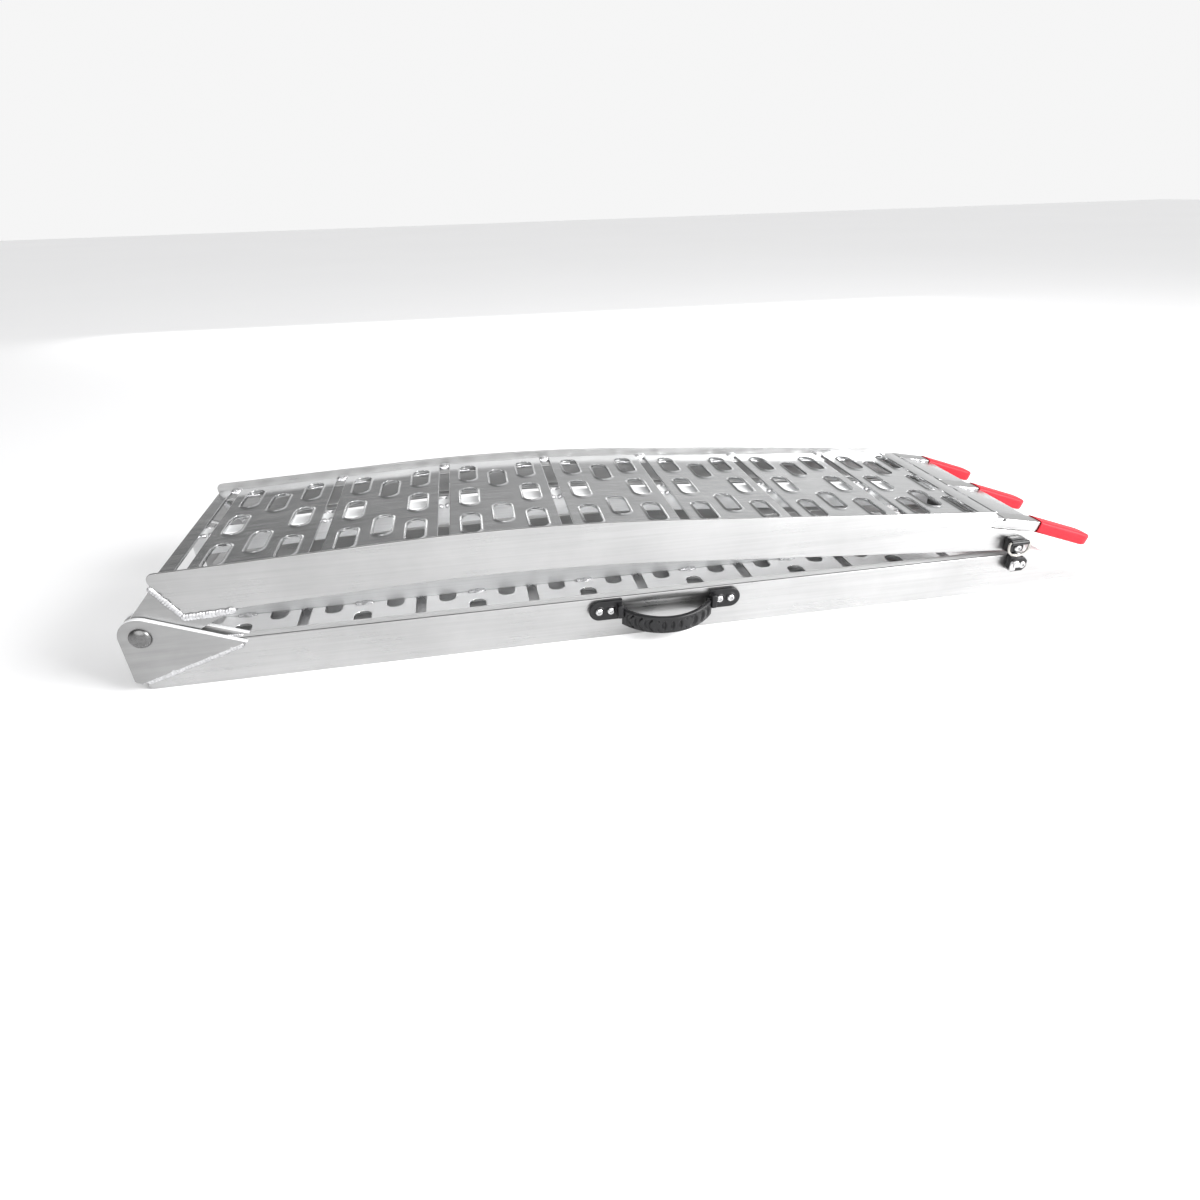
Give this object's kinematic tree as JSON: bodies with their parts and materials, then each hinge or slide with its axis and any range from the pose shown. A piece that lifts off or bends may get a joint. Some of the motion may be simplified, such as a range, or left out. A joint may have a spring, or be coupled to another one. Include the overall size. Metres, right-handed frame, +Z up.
{
  "type": "folding loading ramp",
  "caption": "Arched loading ramp with slotted treads between channel rails, hinged at mid-length to fold for carrying, with a side handle, a bail latch and soft-capped fingers.",
  "frame": {"origin": "centre of the folded ramp's footprint, on the ground", "axes": "+X along the ramp from the hinge end to the finger end, +Y across it away from the handle, +Z up; folded for carrying, lying on the lower half's kerbs"},
  "size_m": [1.1682, 0.329, 0.1505],
  "materials": {
    "frame_aluminium": "bright mill finish, fine grain along the length",
    "deck_aluminium": "rolled sheet, glossy grey",
    "zinc_steel": "bright zinc plated",
    "black_plastic": "moulded, half glossy",
    "soft_cap": "dipped, smooth and half matte"
  },
  "bodies": {
    "lower_half": {"lower_rail_near": "frame_aluminium", "lower_rail_far": "frame_aluminium", "lower_tread_0": "deck_aluminium", "lower_tread_1": "deck_aluminium", "lower_tread_2": "deck_aluminium", "lower_tread_3": "deck_aluminium", "lower_tread_4": "deck_aluminium", "lower_tread_5": "deck_aluminium", "lower_tread_6": "deck_aluminium", "lower_tread_7": "deck_aluminium", "lower_centre_rib": "frame_aluminium", "ground_plate": "deck_aluminium", "hinge_plate_outer_near": "frame_aluminium", "hinge_plate_inner_near": "frame_aluminium", "hinge_pin_near": "zinc_steel", "hinge_washer_near": "zinc_steel", "hinge_nut_near": "zinc_steel", "hinge_plate_outer_far": "frame_aluminium", "hinge_plate_inner_far": "frame_aluminium", "hinge_pin_far": "zinc_steel", "hinge_washer_far": "zinc_steel", "hinge_nut_far": "zinc_steel", "handle_bracket_left": "black_plastic", "handle_bracket_right": "black_plastic", "handle_screw_left_1": "zinc_steel", "handle_screw_left_2": "zinc_steel", "handle_screw_right_1": "zinc_steel", "handle_screw_right_2": "zinc_steel", "keeper_base": "black_plastic", "keeper_hook": "zinc_steel", "keeper_bolt": "zinc_steel"},
    "upper_half": {"upper_rail_near": "frame_aluminium", "upper_rail_far": "frame_aluminium", "upper_hinge_tongue_near": "frame_aluminium", "upper_hinge_tongue_far": "frame_aluminium", "upper_tread_0": "deck_aluminium", "upper_tread_1": "deck_aluminium", "upper_tread_2": "deck_aluminium", "upper_tread_3": "deck_aluminium", "upper_tread_4": "deck_aluminium", "upper_tread_5": "deck_aluminium", "upper_tread_6": "deck_aluminium", "upper_tread_7": "deck_aluminium", "upper_centre_rib": "frame_aluminium", "end_crossbar": "deck_aluminium", "lip_plate_near": "deck_aluminium", "lip_plate_far": "deck_aluminium", "end_beam": "frame_aluminium", "finger_bar_near": "frame_aluminium", "finger_bar_middle": "frame_aluminium", "finger_bar_far": "frame_aluminium", "finger_sleeve_near": "soft_cap", "finger_sleeve_middle": "soft_cap", "finger_sleeve_far": "soft_cap", "latch_base": "black_plastic", "latch_bolt": "zinc_steel"},
    "grip": {"handle_grip": "black_plastic"},
    "bail": {"latch_bail": "zinc_steel"}
  },
  "joints": [
    {"name": "fold", "type": "hinge", "parent": "lower_half", "child": "upper_half", "pos_m": [-0.56185, 0.01293, 0.0685], "axis": [0, -1, 0], "range_deg": [0, 177.5]},
    {"name": "grip_swing", "type": "hinge", "parent": "lower_half", "child": "grip", "pos_m": [0.01465, -0.13657, 0.0385], "axis": [-1, 0, 0], "range_deg": [0, 80]},
    {"name": "bail_swing", "type": "hinge", "parent": "upper_half", "child": "bail", "pos_m": [0.46365, -0.13907, 0.0735], "axis": [-1, 0, 0], "range_deg": [0, 120]}
  ]
}
